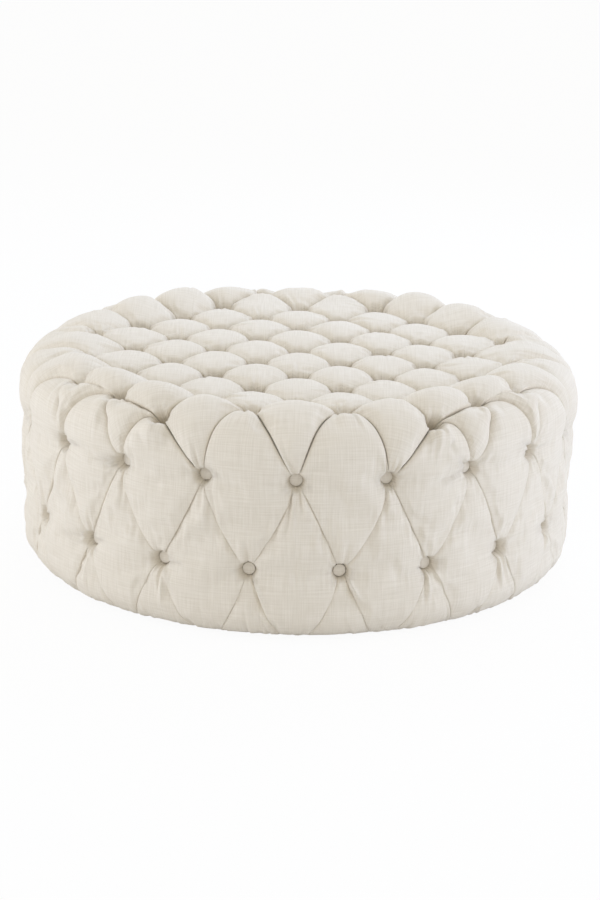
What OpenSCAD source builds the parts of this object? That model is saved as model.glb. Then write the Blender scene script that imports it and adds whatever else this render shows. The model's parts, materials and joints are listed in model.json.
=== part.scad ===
// Round pouf with deep diamond buttoning over the seat and down the side.
// Origin on the floor under the middle, Z up, front at -Y. Millimetres.

/* [Size] */
// Diameter over the fullest part of the side
body_d = 1090; // [1000:5:1300]
// Height of the padded body from the floor, without the crown of the seat
body_h = 414; // [400:1:470]
// Extra height at the middle of the seat
crown_h = 6; // [0:0.5:15]
// Radius of the rounded shoulder between seat and side
shoulder_r = 105; // [90:1:115]
// Radius of the rounded bottom edge of the side
hem_r = 50; // [47:0.5:60]
// Gap between the floor and the cloth under the base
floor_gap = 10; // [7:0.5:30]

/* [Buttoning] */
// How far the last buttons of the middle seat rows lie inside the rounded shoulder
rim_inset = 31.25; // [10:0.25:60]
// How far the first and last seat rows reach out over the shoulder
rim_reach = 11; // [0:0.5:30]
// How far the upper button row on the side lies below the seat's edge
upper_row_drop = 110; // [106:1:124]
// Height of the lower button row on the side
lower_row_z = 133; // [110:1:150]
// How far below the lower buttons their pleats would meet, measured along the cloth
lower_fall = 193; // [170:1:215]
// Depth of a button below the fullest surface
button_depth = 38; // [28:0.5:40]
// Diameter of a cloth-covered button
button_d = 23; // [18:0.5:30]
// Thickness of a button at its edge
button_t = 4; // [3:0.25:7]
// Height of the domed face of a button
button_dome = 2; // [1:0.25:4]
// Diameter of the shank behind a button
shank_d = 6; // [4:0.25:9]

/* [Upholstery] */
// Thickness of the outer cloth
cloth_t = 1.2; // [0.8:0.1:2]
// Depth of the wadding's underside below the fullest surface
wadding_depth = 44; // [42:0.5:46]
// Thickness of the seat foam
seat_foam_t = 99; // [80:1:110]
// Thickness of the side foam
side_foam_t = 34; // [25:0.5:45]
// Radius of the seat foam's rounded shoulder
foam_shoulder_r = 90; // [84:1:96]
// Gap between the seat foam's foot and the wall, where the side twines are tied
tie_gap = 10; // [6:0.5:20]
// Width of cloth turned under the base
hem_turn = 22; // [15:1:40]
// Diameter of the holes for twine in foam, deck and wall
twine_hole_d = 7; // [5:0.25:9]
// Diameter of the tufting twine
twine_d = 2; // [1.2:0.1:3]
// Diameter of the washers that hold the twine
washer_d = 18; // [14:0.5:20]
// Thickness of those washers
washer_t = 2; // [1.5:0.1:3]

/* [Frame] */
// Thickness of the plywood base ring
base_t = 18; // [15:0.5:25]
// Width of the plywood base ring
base_ring_w = 195; // [185:1:220]
// Thickness of the plywood deck under the seat foam
deck_t = 18; // [12:0.5:22]
// Thickness of the bent hardboard wall
wall_t = 4; // [3:0.25:6]
// Side of a square wall post
post_w = 45; // [35:1:50]
// Side of a square deck post
deck_post_w = 40; // [30:1:42]
// Thickness of a deck rail
rail_t = 20; // [15:0.5:25]
// Height of a deck rail
rail_h = 60; // [40:1:80]
// Distance between the middles of the two deck rails
rail_gap = 90; // [84:1:96]
// How far the ends of the deck rails lie inside the wall
rail_inset = 95; // [80:1:115]
// How far the wall stands above the deck
wall_rise = 48; // [45:0.5:50]

/* [Fasteners] */
// Length of a frame screw
screw_len = 50; // [40:1:70]
// Diameter of a frame screw
screw_d = 4; // [3:0.25:6]
// Diameter of a frame screw's head
screw_head_d = 8; // [7:0.25:10]
// Length of a wall pin
pin_len = 22; // [15:0.5:30]
// Diameter of a wall pin
pin_d = 1.8; // [1.4:0.1:2.6]
// Diameter of a wall pin's head
pin_head_d = 6; // [4:0.25:8]
// Thickness of a wall pin's head
pin_head_t = 0.8; // [0.5:0.1:1.2]
// Width of a staple's crown
staple_w = 10; // [8:0.25:14]
// Length of a staple's legs
staple_leg = 8; // [6:0.25:14]
// Thickness of staple wire
staple_wire = 0.9; // [0.6:0.1:1.2]

/* [Underside] */
// Thickness of the dust cover
dust_t = 0.6; // [0.4:0.1:1]
// How far the dust cover's edge lies inside the base ring's edge
dust_inset = 6; // [4:0.5:12]
// Diameter of a glide
glide_d = 30; // [22:0.5:40]
// How far a glide's middle lies inside the base ring's edge
glide_inset = 55; // [50:0.5:70]
// Diameter of a glide's nail
glide_nail_d = 3; // [2:0.25:5]
// Length of a glide's nail in the base ring
glide_nail_len = 14; // [8:0.5:15]

/* [Hidden] */

// Clearance between a soft layer and its neighbour, and round pins and twine
clear = 0.4;
// Overrun of a cut past the face that it leaves
over = 1;
// Step to which the points of the cloth are rounded, so that shared edges meet
tick = 0.001;

// Button columns round the side, and half steps between them
columns = 20;
half_steps = 2 * columns;
half_turn = 360 / half_steps;
// Divisions of a pleat from one button to the next
cuts = 3;
// Share of its depth that a pleat rises between two buttons
pleat_rise_share = 0.5;
// How square the padding stands up out of its pleats, from 1, soft, to 0.3, full
fullness_share = 0.6;
// How far a three-cornered cell fills out, beside a diamond
small_cell_share = 0.55;
// Where a pleat below the lower buttons is divided, as shares of its length
fall_shares = [[0, 0], [1 / 3, 0.45], [2 / 3, 0.66], [1, 1]];
// Farthest button in each seat row, in half diamonds, from the middle row out
seat_reach = [4, 5, 4, 5, 4, 3];
seat_rows = len(seat_reach) - 1;
// Seat buttons on the rim of a quarter, each [half diamonds, rows] from the middle
rim_quarter = [[1, -5], [3, -5], [4, -4], [5, -3], [5, -1]];
// Seat buttons inside the rim of a quarter, where four pleats meet, or [] where none is
inner_quarter = [[0, -4], [2, -4], [], [], [4, -2], [4, 0]];

body_r = body_d / 2;
top_r = body_r - shoulder_r;
// Width of one diamond on the seat, and distance between neighbouring button rows
diamond_w = 2 * (top_r - rim_inset) / seat_rows;
seat_row = (top_r + rim_reach) / seat_rows;
shoulder_len = shoulder_r * PI / 2;
shoulder_z = body_h - shoulder_r;
side_start = top_r + shoulder_len;
side_len = shoulder_z - hem_r - floor_gap;
side_end = side_start + side_len;
hem_len = hem_r * PI / 2;
hem_start = side_end + hem_len;
hem_end = hem_start + hem_turn;
upper_row_z = body_h - upper_row_drop;
upper_s = side_start + shoulder_z - upper_row_z;
lower_s = side_start + shoulder_z - lower_row_z;
fall_s = lower_s + lower_fall;

hem_axis_r = body_r - hem_r;
base_or = hem_axis_r - clear;
base_z = floor_gap + cloth_t + clear;
base_top_z = base_z + base_t;
// How far the flat facets under the wadding lie inside a true round
facet_sag = (body_r - wadding_depth) * (1 - cos(half_turn / 2));
foam_r = body_r - wadding_depth - facet_sag - clear;
foam_top_z = body_h - wadding_depth - clear;
deck_top_z = foam_top_z - seat_foam_t;
deck_z = deck_top_z - deck_t;
side_foam_ir = foam_r - side_foam_t;
wall_or = side_foam_ir - pin_head_t - clear;
wall_ir = wall_or - wall_t;
wall_top_z = deck_top_z + wall_rise;
deck_r = wall_ir - clear;
post_face = sqrt(wall_ir * wall_ir - post_w * post_w / 4) - clear;
post_r = post_face - post_w / 2;
rail_z = deck_z - rail_h;
rail_len = 2 * (wall_ir - rail_inset);
wall_post_count = 8;
wall_post_turn = 360 / wall_post_count;
deck_post_x = rail_len / 2 - deck_post_w / 2;
rim_hole_r = post_face - post_w - washer_d / 2 - clear;
dust_z = floor_gap - clear - dust_t;
dust_r = base_or - dust_inset;
glide_r = base_or - glide_inset;
glide_h = dust_z - clear;
dust_staple_r = base_or - hem_turn - staple_wire - 2 * clear;
dust_staples = 36;
// Rise of the cloth beside a button, per length away from its middle, where it is steepest
steep_share = 1.25;
tuft_slope = steep_share * button_depth * cuts / diamond_w;
shank_start = shank_d / 2 * tuft_slope + clear;
button_back = button_d / 2 * tuft_slope + clear;
pin_rows_share = [0.15, 0.5, 0.85];
rail_screw_share = [-0.8, -0.3, 0.3, 0.8];
round_fn = 96;
small_fn = 24;
tiny_fn = 16;

// The plain profile: [radius, height, outward, upward] at a distance along the cloth from the middle
function profile(s) =
    s < top_r ? [s, body_h, 0, 1]
    : s < side_start ? let (a = (s - top_r) / shoulder_len * 90)
        [top_r + shoulder_r * sin(a), shoulder_z + shoulder_r * cos(a), sin(a), cos(a)]
    : s < side_end ? [body_r, shoulder_z - (s - side_start), 1, 0]
    : s < hem_start ? let (a = (s - side_end) / hem_len * 90)
        [hem_axis_r + hem_r * cos(a), floor_gap + hem_r - hem_r * sin(a), cos(a), -sin(a)]
    : [hem_axis_r - (s - hem_start), floor_gap, 0, -1];

function rounded(p) = [for (c = p) round(c / tick) * tick];
function crown(s) = s < top_r ? crown_h * (1 - pow(s / top_r, 2)) : 0;

// A point of the flat pattern, lifted off the plain profile along its own direction
function placed(x, y, lift) =
    let (s = norm([x, y]), q = profile(s), ux = s > 0 ? x / s : 0, uy = s > 0 ? y / s : 0,
        r = q[0] + lift * q[2])
    [r * ux, r * uy, q[1] + lift * q[3]];
function at_turn(s, turn) = [s * sin(turn), -s * cos(turn)];

// A tuft is [x, y, depth, kind] in the flat pattern; kind is 0 on the seat and 1 on the side
function seat_tuft(p) = [p[0] * diamond_w / 2, p[1] * seat_row, button_depth, 0];
function rim_index(k) =
    let (m = (k + 2 * half_steps) % half_steps, q = m <= columns / 2 ? m : m <= columns ? columns - m
        : m <= columns * 3 / 2 ? m - columns : half_steps - m,
        sx = m < columns ? 1 : -1, sy = m < columns / 2 || m > columns * 3 / 2 ? 1 : -1)
    [q, sx, sy];
function rim_steps(k) =
    let (i = rim_index(k), p = rim_quarter[(i[0] - 1) / 2])
    [p[0] * i[1], p[1] * i[2]];
function inner_steps(k) =
    let (i = rim_index(k), p = inner_quarter[i[0] / 2])
    len(p) == 0 ? [] : [p[0] * i[1], p[1] * i[2]];
function pushed(t, push) =
    let (s = norm([t[0], t[1]])) [t[0] * (s + push) / s, t[1] * (s + push) / s, t[2], t[3]];
function rim_tuft(k, push) = pushed(seat_tuft(rim_steps(k)), push);
function side_tuft(k, s, depth) = let (p = at_turn(s, k * half_turn)) [p[0], p[1], depth, 1];
function upper_tuft(k, push) = side_tuft(k, upper_s + push, button_depth);
function lower_tuft(k) = side_tuft(k, lower_s, button_depth);
function fall_tuft(k) = side_tuft(k, fall_s, 0);

function is_rim(p) = len([for (k = [1:2:half_steps]) if (rim_steps(k) == p) k]) > 0;
function has_tuft(p) = abs(p[1]) <= seat_rows && abs(p[0]) <= seat_reach[abs(p[1])];
// A seat button by its steps from the middle; one on the rim is pushed with the rim
function seat_corner(p, push) = is_rim(p) ? pushed(seat_tuft(p), push) : seat_tuft(p);

function mix(a, b, t) = a + (b - a) * t;
function sag(t) = 1 - pleat_rise_share * 4 * t * (1 - t);
// A point of the pleat between two tufts, as [x, y, depth]
function pleat(a, b, t) =
    let (w = b[2] == 0 ? lookup(t, fall_shares) : t, d = mix(a[2], b[2], w) * sag(w))
    a[3] + b[3] == 0 ? [mix(a[0], b[0], w), mix(a[1], b[1], w), d]
    : let (ta = atan2(a[0], -a[1]), db = (atan2(b[0], -b[1]) - ta + 540) % 360 - 180,
        p = at_turn(mix(norm([a[0], a[1]]), norm([b[0], b[1]]), w), ta + db * w))
    [p[0], p[1], d];

// A diamond has tufts a, b, c, d in order; u runs from a to b and v from a to d
function diamond_point(q, u, v) =
    let (a = [for (i = [0:2]) q[0][i]], b = [for (i = [0:2]) q[1][i]],
        c = [for (i = [0:2]) q[2][i]], d = [for (i = [0:2]) q[3][i]],
        edges = (1 - v) * pleat(q[0], q[1], u) + v * pleat(q[3], q[2], u)
            + (1 - u) * pleat(q[0], q[3], v) + u * pleat(q[1], q[2], v),
        flat = (1 - u) * (1 - v) * a + u * (1 - v) * b + u * v * c + (1 - u) * v * d,
        p = edges - flat, full = pow(16 * u * (1 - u) * v * (1 - v), fullness_share))
    [p[0], p[1], p[2] * (1 - full)];
// A triangle has its apex tuft first; v runs away from the apex and u across
function triangle_point(q, u, v) =
    let (a = [for (i = [0:2]) q[0][i]], b = [for (i = [0:2]) q[1][i]], c = [for (i = [0:2]) q[2][i]],
        edges = (1 - v) * a + v * pleat(q[1], q[2], u) + (1 - u) * pleat(q[0], q[1], v)
            + u * pleat(q[0], q[2], v),
        flat = (1 - v) * a + v * ((1 - u) * b + u * c),
        p = edges - flat, full = small_cell_share * pow(27 * (1 - v) * (1 - u) * v * u * v, fullness_share))
    [p[0], p[1], p[2] * (1 - full)];

function lift_of(p, under) = crown(norm([p[0], p[1]])) - p[2] - under;
// Under is the distance below the cloth's face; a level layer ignores the buttoning
function on_cloth(p, under) = rounded(placed(p[0], p[1], lift_of(p, under)));
function on_level(p, depth) = rounded(placed(p[0], p[1], -depth));
function on_layer(p, layer) = layer[0] == "level" ? on_level(p, layer[1]) : on_cloth(p, layer[1]);

// Flat-pattern points of a patch, and its triangles; rows past the last one are left off
function diamond_grid(q) =
    [for (j = [0:cuts]) for (i = [0:cuts]) diamond_point(q, i / cuts, j / cuts)];
function diamond_faces(last) =
    [for (j = [0:cuts - 1]) for (i = [0:cuts - 1])
        let (n = cuts + 1, a = j * n + i, b = a + 1, c = a + n, d = c + 1)
        each [if (i + j + 1 <= last) [a, b, c], if (i + j + 2 <= last) [b, d, c]]];
function triangle_grid(q) =
    [for (j = [0:cuts]) for (i = [0:j]) triangle_point(q, j > 0 ? i / j : 0, j / cuts)];
function triangle_faces(last) =
    [for (j = [0:last - 1]) for (i = [0:j])
        let (a = j * (j + 1) / 2 + i, b = a + j + 1)
        each [[a, b, b + 1], if (i < j) [a, b + 1, a + 1]]];

// A sheet is [points, faces] of one patch in the flat pattern
function seat_cells() =
    [for (j = [-seat_rows:seat_rows]) for (i = [-seat_rows:seat_rows])
        if (abs(i + j) % 2 == 1 && has_tuft([i - 1, j]) && has_tuft([i + 1, j])
            && has_tuft([i, j - 1]) && has_tuft([i, j + 1])) [i, j]];
function seat_sheets(push) = [
    for (c = seat_cells()) [diamond_grid([
        seat_corner([c[0], c[1] + 1], push), seat_corner([c[0] - 1, c[1]], push),
        seat_corner([c[0], c[1] - 1], push), seat_corner([c[0] + 1, c[1]], push)]),
        diamond_faces(2 * cuts)],
    for (k = [0:2:half_steps - 1]) let (inner = inner_steps(k), r1 = rim_tuft(k - 1, push),
        r2 = rim_tuft(k + 1, push), s = upper_tuft(k, push))
        len(inner) > 0
        ? [diamond_grid([seat_tuft(inner), r1, s, r2]), diamond_faces(2 * cuts)]
        : [triangle_grid([s, r2, r1]), triangle_faces(cuts)]
];
function side_sheets(push) = [
    for (k = [1:2:half_steps - 1]) [diamond_grid([rim_tuft(k, push), upper_tuft(k - 1, push),
        lower_tuft(k), upper_tuft(k + 1, push)]), diamond_faces(2 * cuts)],
    for (k = [0:2:half_steps - 1]) [diamond_grid([upper_tuft(k, push), lower_tuft(k - 1),
        fall_tuft(k), lower_tuft(k + 1)]), diamond_faces(2 * cuts - 1)],
    for (k = [1:2:half_steps - 1]) [triangle_grid([lower_tuft(k), fall_tuft(k - 1),
        fall_tuft(k + 1)]), triangle_faces(cuts - 1)]
];

// The zigzag of pleats between rim and upper side buttons, where seat and side meet
function zigzag(push) = [
    for (k = [0:2:half_steps - 1]) for (e = [
        [rim_tuft(k - 1, push), upper_tuft(k, push)],
        [upper_tuft(k, push), rim_tuft(k + 1, push)]])
        for (i = [0:cuts - 1]) pleat(e[0], e[1], i / cuts)
];
// The row of points where the buttoned side ends, just under the rounded bottom edge
function bottom_row() = [
    for (k = [1:2:half_steps - 1]) for (i = [0:cuts - 1])
        triangle_point([lower_tuft(k), fall_tuft(k - 1), fall_tuft(k + 1)],
            i / (cuts - 1), (cuts - 1) / cuts)
];
function level_row(row, s) =
    [for (p = row) let (t = atan2(p[0], -p[1]), q = at_turn(s, t)) [q[0], q[1], 0]];

function flipped(faces) = [for (f = faces) [f[0], f[2], f[1]]];
// A closed band of triangles between two loops of the same length, which may face the other way
function band(outer, inner, turned) = let (n = len(outer),
    faces = [for (i = [0:n - 1]) let (j = (i + 1) % n) each [[i, j, n + j], [i, n + j, n + i]]])
    [concat(outer, inner), turned ? flipped(faces) : faces];
function shown(sheet, layer) = [[for (p = sheet[0]) on_layer(p, layer)], sheet[1]];
function loop_at(row, layer) = [for (p = row) on_layer(p, layer)];
// The points and faces of many sheets, joined in one list each
function starts(sheets) = [for (i = 0, n = 0; i < len(sheets); n = n + len(sheets[i][0]), i = i + 1) n];
function all_points(sheets) = [for (s = sheets) each s[0]];
function all_faces(sheets) = let (at = starts(sheets))
    [for (i = [0:len(sheets) - 1]) for (f = sheets[i][1]) [for (v = f) v + at[i]]];

module solid_of(sheets) {
    polyhedron(points = all_points(sheets), faces = all_faces(sheets), convexity = 8);
}

// A shell between two layers of the same sheets, closed along its edges, each [loop, turned]
module shell(sheets, edges, outer, inner) {
    bands = [for (e = edges) band(loop_at(e[0], outer), loop_at(e[0], inner), e[1])];
    solid_of(concat([for (s = sheets) let (t = shown(s, outer)) [t[0], flipped(t[1])]],
        [for (s = sheets) shown(s, inner)], bands));
}

// A cylinder from one point to another
module rod(p, q, d, fn) {
    v = q - p;
    translate(p) rotate([0, acos(v[2] / norm(v)), atan2(v[1], v[0])])
        cylinder(h = norm(v), d = d, $fn = fn);
}

seat_steps = [for (j = [-seat_rows:seat_rows]) for (i = [-seat_rows:seat_rows])
    if ((i + j) % 2 == 0 && has_tuft([i, j]) && !is_rim([i, j])) [i, j]];
rim_ks = [1:2:half_steps - 1];
upper_ks = [0:2:half_steps - 1];

// A tuft's place at a depth, the foot of its twine, and its outward direction
function tuft_at(t, depth) = placed(t[0], t[1], -depth);
function outward(t) = placed(t[0], t[1], 1) - placed(t[0], t[1], 0);
function twine_top(t) = tuft_at(t, wadding_depth + 2 * clear);
function twine_foot(t) =
    let (p = twine_top(t), r = norm([p[0], p[1]]), f = r > rim_hole_r ? rim_hole_r / r : 1)
    [p[0] * f, p[1] * f, deck_z - washer_t];
module twine_holes(tufts) {
    for (t = tufts) {
        p = twine_top(t);
        q = twine_foot(t);
        u = (p - q) / norm(p - q);
        rod(p + u * wadding_depth, q - u * deck_t, twine_hole_d, tiny_fn);
    }
}
seat_tufts = [for (p = seat_steps) seat_tuft(p)];
rim_tufts = [for (k = rim_ks) rim_tuft(k, 0)];
side_tufts = [for (k = upper_ks) upper_tuft(k, 0), for (k = rim_ks) lower_tuft(k)];
module side_holes() {
    for (t = side_tufts) {
        rod(tuft_at(t, 0), tuft_at(t, body_r - wall_ir + tie_gap), twine_hole_d, tiny_fn);
    }
}
module on_turns(count, first) {
    for (i = [0:count - 1]) rotate(first + i * 360 / count) children();
}
module at_wall_posts() {
    on_turns(wall_post_count, wall_post_turn / 2) translate([post_r, 0, 0]) children();
}
module at_deck_posts() {
    for (sx = [-1, 1]) for (sy = [-1, 1]) translate([sx * deck_post_x, sy * rail_gap / 2, 0]) children();
}
module at_rail_screws() {
    for (f = rail_screw_share) for (sy = [-1, 1])
        translate([f * rail_len / 2, sy * rail_gap / 2, 0]) children();
}
// A countersunk screw with its head's face at the origin, pointing up; grow widens it to a hole
module screw(grow) {
    translate([0, 0, -grow]) cylinder(h = screw_head_d / 2 + grow, d1 = screw_head_d + 2 * grow,
        d2 = screw_d + 2 * grow, $fn = small_fn);
    cylinder(h = screw_len + grow, d = screw_d + 2 * grow, $fn = small_fn);
}
module base_screw_places() {
    at_wall_posts() translate([0, 0, base_z]) children();
    at_deck_posts() translate([0, 0, base_z]) children();
}
module deck_screw_places() {
    at_wall_posts() translate([0, 0, deck_top_z]) mirror([0, 0, 1]) children();
    at_rail_screws() translate([0, 0, deck_top_z]) mirror([0, 0, 1]) children();
}
module pin_places() {
    for (f = pin_rows_share) on_turns(wall_post_count, wall_post_turn / 2)
        translate([wall_or, 0, mix(base_top_z, deck_z, f)]) rotate([0, -90, 0]) children();
}
module pin(grow) {
    translate([0, 0, -pin_head_t]) cylinder(h = pin_head_t, d = pin_head_d, $fn = small_fn);
    cylinder(h = pin_len + grow, d = pin_d + 2 * grow, $fn = tiny_fn);
}
module glide_places() {
    on_turns(wall_post_count, 0) translate([glide_r, 0, 0]) children();
}
module staple_legs(grow) {
    for (s = [-1, 1]) translate([0, s * (staple_w - staple_wire) / 2, 0])
        cylinder(h = staple_leg + dust_t + grow, d = staple_wire + 2 * grow, $fn = tiny_fn);
}
module dust_staple_places() {
    on_turns(dust_staples, 0) translate([dust_staple_r, 0, dust_z]) children();
}

// Eight nylon discs that the pouf stands on
module glides() {
    color("dimgray") glide_places() difference() {
        rotate_extrude($fn = small_fn * 2) polygon([[0, 0], [glide_d / 2 - glide_h / 4, 0],
            [glide_d / 2, glide_h / 4], [glide_d / 2, glide_h], [0, glide_h]]);
        translate([0, 0, glide_h / 3]) cylinder(h = glide_h, d = glide_nail_d + 2 * clear, $fn = small_fn);
        translate([0, 0, glide_h / 3]) cylinder(h = glide_h / 3, d = 3 * glide_nail_d, $fn = small_fn);
    }
}

// One nail in each glide, with its head held inside the disc
module glide_nails() {
    color("silver") glide_places() {
        translate([0, 0, glide_h / 3 + clear])
            cylinder(h = glide_h / 3 - 2 * clear, d = 3 * glide_nail_d - 2 * clear, $fn = small_fn);
        translate([0, 0, glide_h / 2]) cylinder(h = base_z - glide_h / 2 + glide_nail_len,
            d = glide_nail_d, $fn = small_fn);
    }
}

// Thin dark cloth that closes the underside
module dust_cover() {
    color("#2b2b2d") difference() {
        translate([0, 0, dust_z]) cylinder(h = dust_t, r = dust_r, $fn = round_fn);
        glide_places() cylinder(h = floor_gap + over, d = glide_nail_d + 2 * clear, $fn = small_fn);
        dust_staple_places() translate([0, 0, -over]) staple_legs(clear);
    }
}

// Wire staples that hold the dust cover to the base ring
module dust_cover_staples() {
    color("silver") dust_staple_places() {
        translate([-staple_wire / 2, -staple_w / 2, -clear / 2 - staple_wire])
            cube([staple_wire, staple_w, staple_wire]);
        translate([0, 0, -clear / 2 - staple_wire / 2]) staple_legs(0);
    }
}

// Plywood ring at the foot of the frame
module base_ring() {
    color("#c9a878") difference() {
        translate([0, 0, base_z]) cylinder(h = base_t, r = base_or, $fn = round_fn);
        cylinder(h = base_top_z + over, r = base_or - base_ring_w, $fn = round_fn);
        base_screw_places() screw(clear);
        glide_places() cylinder(h = base_z + glide_nail_len + clear, d = glide_nail_d + 2 * clear,
            $fn = small_fn);
        dust_staple_places() translate([0, 0, -over]) staple_legs(over + clear);
    }
}

// Square timber posts behind the wall
module wall_posts() {
    color("#d8bd90") difference() {
        at_wall_posts() translate([-post_w / 2, -post_w / 2, base_top_z])
            cube([post_w, post_w, deck_z - base_top_z]);
        base_screw_places() screw(clear);
        deck_screw_places() screw(clear);
        pin_places() pin(clear);
    }
}

// Square timber posts under the ends of the deck rails
module deck_posts() {
    color("#d8bd90") difference() {
        at_deck_posts() translate([-deck_post_w / 2, -deck_post_w / 2, base_top_z])
            cube([deck_post_w, deck_post_w, rail_z - base_top_z]);
        base_screw_places() screw(clear);
    }
}

// Two timber rails on edge that stiffen the middle of the deck
module deck_rails() {
    color("#cfb183") difference() {
        for (sy = [-1, 1]) translate([-rail_len / 2, sy * rail_gap / 2 - rail_t / 2, rail_z])
            cube([rail_len, rail_t, rail_h]);
        deck_screw_places() screw(clear);
    }
}

// Plywood deck that carries the seat, drilled for every seat twine
module deck() {
    color("#c9a878") difference() {
        translate([0, 0, deck_z]) cylinder(h = deck_t, r = deck_r, $fn = round_fn);
        twine_holes(seat_tufts);
        twine_holes(rim_tufts);
        deck_screw_places() screw(clear);
    }
}

// Hardboard hoop round the posts, drilled for every side twine
module wall_panel() {
    color("#8a6a48") difference() {
        translate([0, 0, base_top_z]) cylinder(h = wall_top_z - base_top_z, r = wall_or, $fn = round_fn);
        translate([0, 0, base_top_z - over])
            cylinder(h = wall_top_z - base_top_z + 2 * over, r = wall_ir, $fn = round_fn);
        side_holes();
        pin_places() pin(clear);
    }
}

module base_screws() {
    color("silver") base_screw_places() screw(0);
}

module deck_screws() {
    color("silver") deck_screw_places() screw(0);
}

module wall_pins() {
    color("silver") pin_places() pin(0);
}

// The outline of the foam: a block with a rounded shoulder, drawn in at its foot
module foam_outline() {
    shoulder = [foam_r - foam_shoulder_r, foam_top_z - foam_shoulder_r];
    polygon([[0, base_z], [base_or, base_z], [base_or, floor_gap + hem_r],
        [foam_r, floor_gap + hem_r + foam_r - base_or], [foam_r, shoulder[1]],
        [shoulder[0], shoulder[1]], [shoulder[0], foam_top_z], [0, foam_top_z]]);
    intersection() {
        translate(shoulder) circle(r = foam_shoulder_r, $fn = round_fn);
        translate(shoulder) square(foam_shoulder_r);
    }
}

// Foam block over the deck, stepped over the wall and rounded at its shoulder
module seat_foam() {
    color("#efe3b4") difference() {
        rotate_extrude($fn = round_fn) intersection() {
            foam_outline();
            polygon([
                [0, deck_top_z + clear], [wall_ir - tie_gap, deck_top_z + clear],
                [wall_ir - tie_gap, wall_top_z + clear], [foam_r, wall_top_z + clear],
                [foam_r, foam_top_z], [0, foam_top_z]]);
        }
        twine_holes(seat_tufts);
        twine_holes(rim_tufts);
    }
}

// Foam band round the wall, drilled for every side twine
module side_foam() {
    color("#efe3b4") difference() {
        rotate_extrude($fn = round_fn) intersection() {
            foam_outline();
            translate([side_foam_ir, base_top_z + clear])
                square([side_foam_t, wall_top_z - base_top_z - clear]);
        }
        side_holes();
    }
}

// Wadding under the seat's cloth, full in each diamond and thin at each button
module seat_wadding() {
    color("white") shell(seat_sheets(-clear / 2), [[zigzag(-clear / 2), false]],
        ["cloth", cloth_t + clear], ["level", wadding_depth]);
}

// Wadding under the side's cloth
module side_wadding() {
    color("white") shell(side_sheets(clear / 2), [[zigzag(clear / 2), true], [bottom_row(), false]],
        ["cloth", cloth_t + clear], ["level", wadding_depth]);
}

// Buttoned cloth over the seat, cut along the pleats from rim to upper side buttons
module seat_cover() {
    color("#e8e4da") shell(seat_sheets(-clear / 2), [[zigzag(-clear / 2), false]],
        ["cloth", 0], ["cloth", cloth_t]);
}

// Buttoned cloth round the side, turned under the base
module side_cover() {
    row = bottom_row();
    turned = [row, level_row(row, hem_start), level_row(row, hem_end)];
    strips = [for (i = [0:1]) band(turned[i], turned[i + 1], true)];
    color("#ddd7ca") shell(concat(side_sheets(clear / 2), strips),
        [[zigzag(clear / 2), true], [turned[2], false]], ["cloth", 0], ["cloth", cloth_t]);
}

// A cloth-covered button on its pointed shank, facing up, with the tuft's middle at the origin
module button() {
    rotate_extrude($fn = small_fn) polygon([
        [0, clear], [shank_d / 2, shank_start], [shank_d / 2, button_back],
        [button_d / 2, button_back], [button_d / 2, button_back + button_t - button_dome],
        [button_d / 2 - button_dome, button_back + button_t], [0, button_back + button_t]]);
}
module at_tuft(t) {
    u = outward(t);
    translate(placed(t[0], t[1], lift_of(t, 0))) rotate([0, acos(u[2]), atan2(u[1], u[0])]) children();
}
module buttons(tufts) {
    color("#cfc8b8") for (t = tufts) at_tuft(t) button();
}
module seat_buttons() {
    buttons(seat_tufts);
}
module rim_buttons() {
    buttons(rim_tufts);
}
module upper_side_buttons() {
    buttons([for (k = upper_ks) upper_tuft(k, 0)]);
}
module lower_side_buttons() {
    buttons([for (k = rim_ks) lower_tuft(k)]);
}

// Twines from the buttons down to the washers under the deck
module seat_twines() {
    color("ivory") for (t = seat_tufts) rod(twine_foot(t), twine_top(t), twine_d, tiny_fn);
}
module rim_twines() {
    color("ivory") for (t = rim_tufts) rod(twine_foot(t), twine_top(t), twine_d, tiny_fn);
}

// Twines from the side buttons in to the washers behind the wall
module side_twines() {
    color("ivory") for (t = side_tufts)
        rod(tuft_at(t, body_r - wall_ir + washer_t + 2 * clear), twine_top(t), twine_d, tiny_fn);
}

// Washers under the deck, one to each seat twine
module deck_washers() {
    color("gainsboro") difference() {
        for (t = concat(seat_tufts, rim_tufts)) translate(twine_foot(t))
            cylinder(h = washer_t - clear, d = washer_d, $fn = small_fn);
        for (t = concat(seat_tufts, rim_tufts)) {
            u = twine_top(t) - twine_foot(t);
            rod(twine_foot(t) - u / norm(u) * over, twine_foot(t) + u / norm(u) * 2 * washer_t,
                twine_d + 2 * clear, tiny_fn);
        }
    }
}

// Washers behind the wall, one to each side twine
module wall_washers() {
    color("gainsboro") for (t = side_tufts) difference() {
        rod(tuft_at(t, body_r - wall_ir + clear + washer_t), tuft_at(t, body_r - wall_ir + clear),
            washer_d, small_fn);
        rod(tuft_at(t, body_r - wall_ir + tie_gap), tuft_at(t, body_r - wall_ir - over),
            twine_d + 2 * clear, tiny_fn);
    }
}

glides();
glide_nails();
dust_cover();
dust_cover_staples();
base_ring();
wall_posts();
deck_posts();
deck_rails();
deck();
wall_panel();
base_screws();
deck_screws();
wall_pins();
seat_foam();
side_foam();
seat_wadding();
side_wadding();
seat_cover();
side_cover();
seat_buttons();
rim_buttons();
upper_side_buttons();
lower_side_buttons();
seat_twines();
rim_twines();
side_twines();
deck_washers();
wall_washers();
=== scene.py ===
"""The round buttoned pouf: cloth, padding, buttons, underside and studio. Metres, origin on the floor."""

import json
import math

import bpy
import numpy as np
from mathutils import Matrix, Vector


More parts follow.
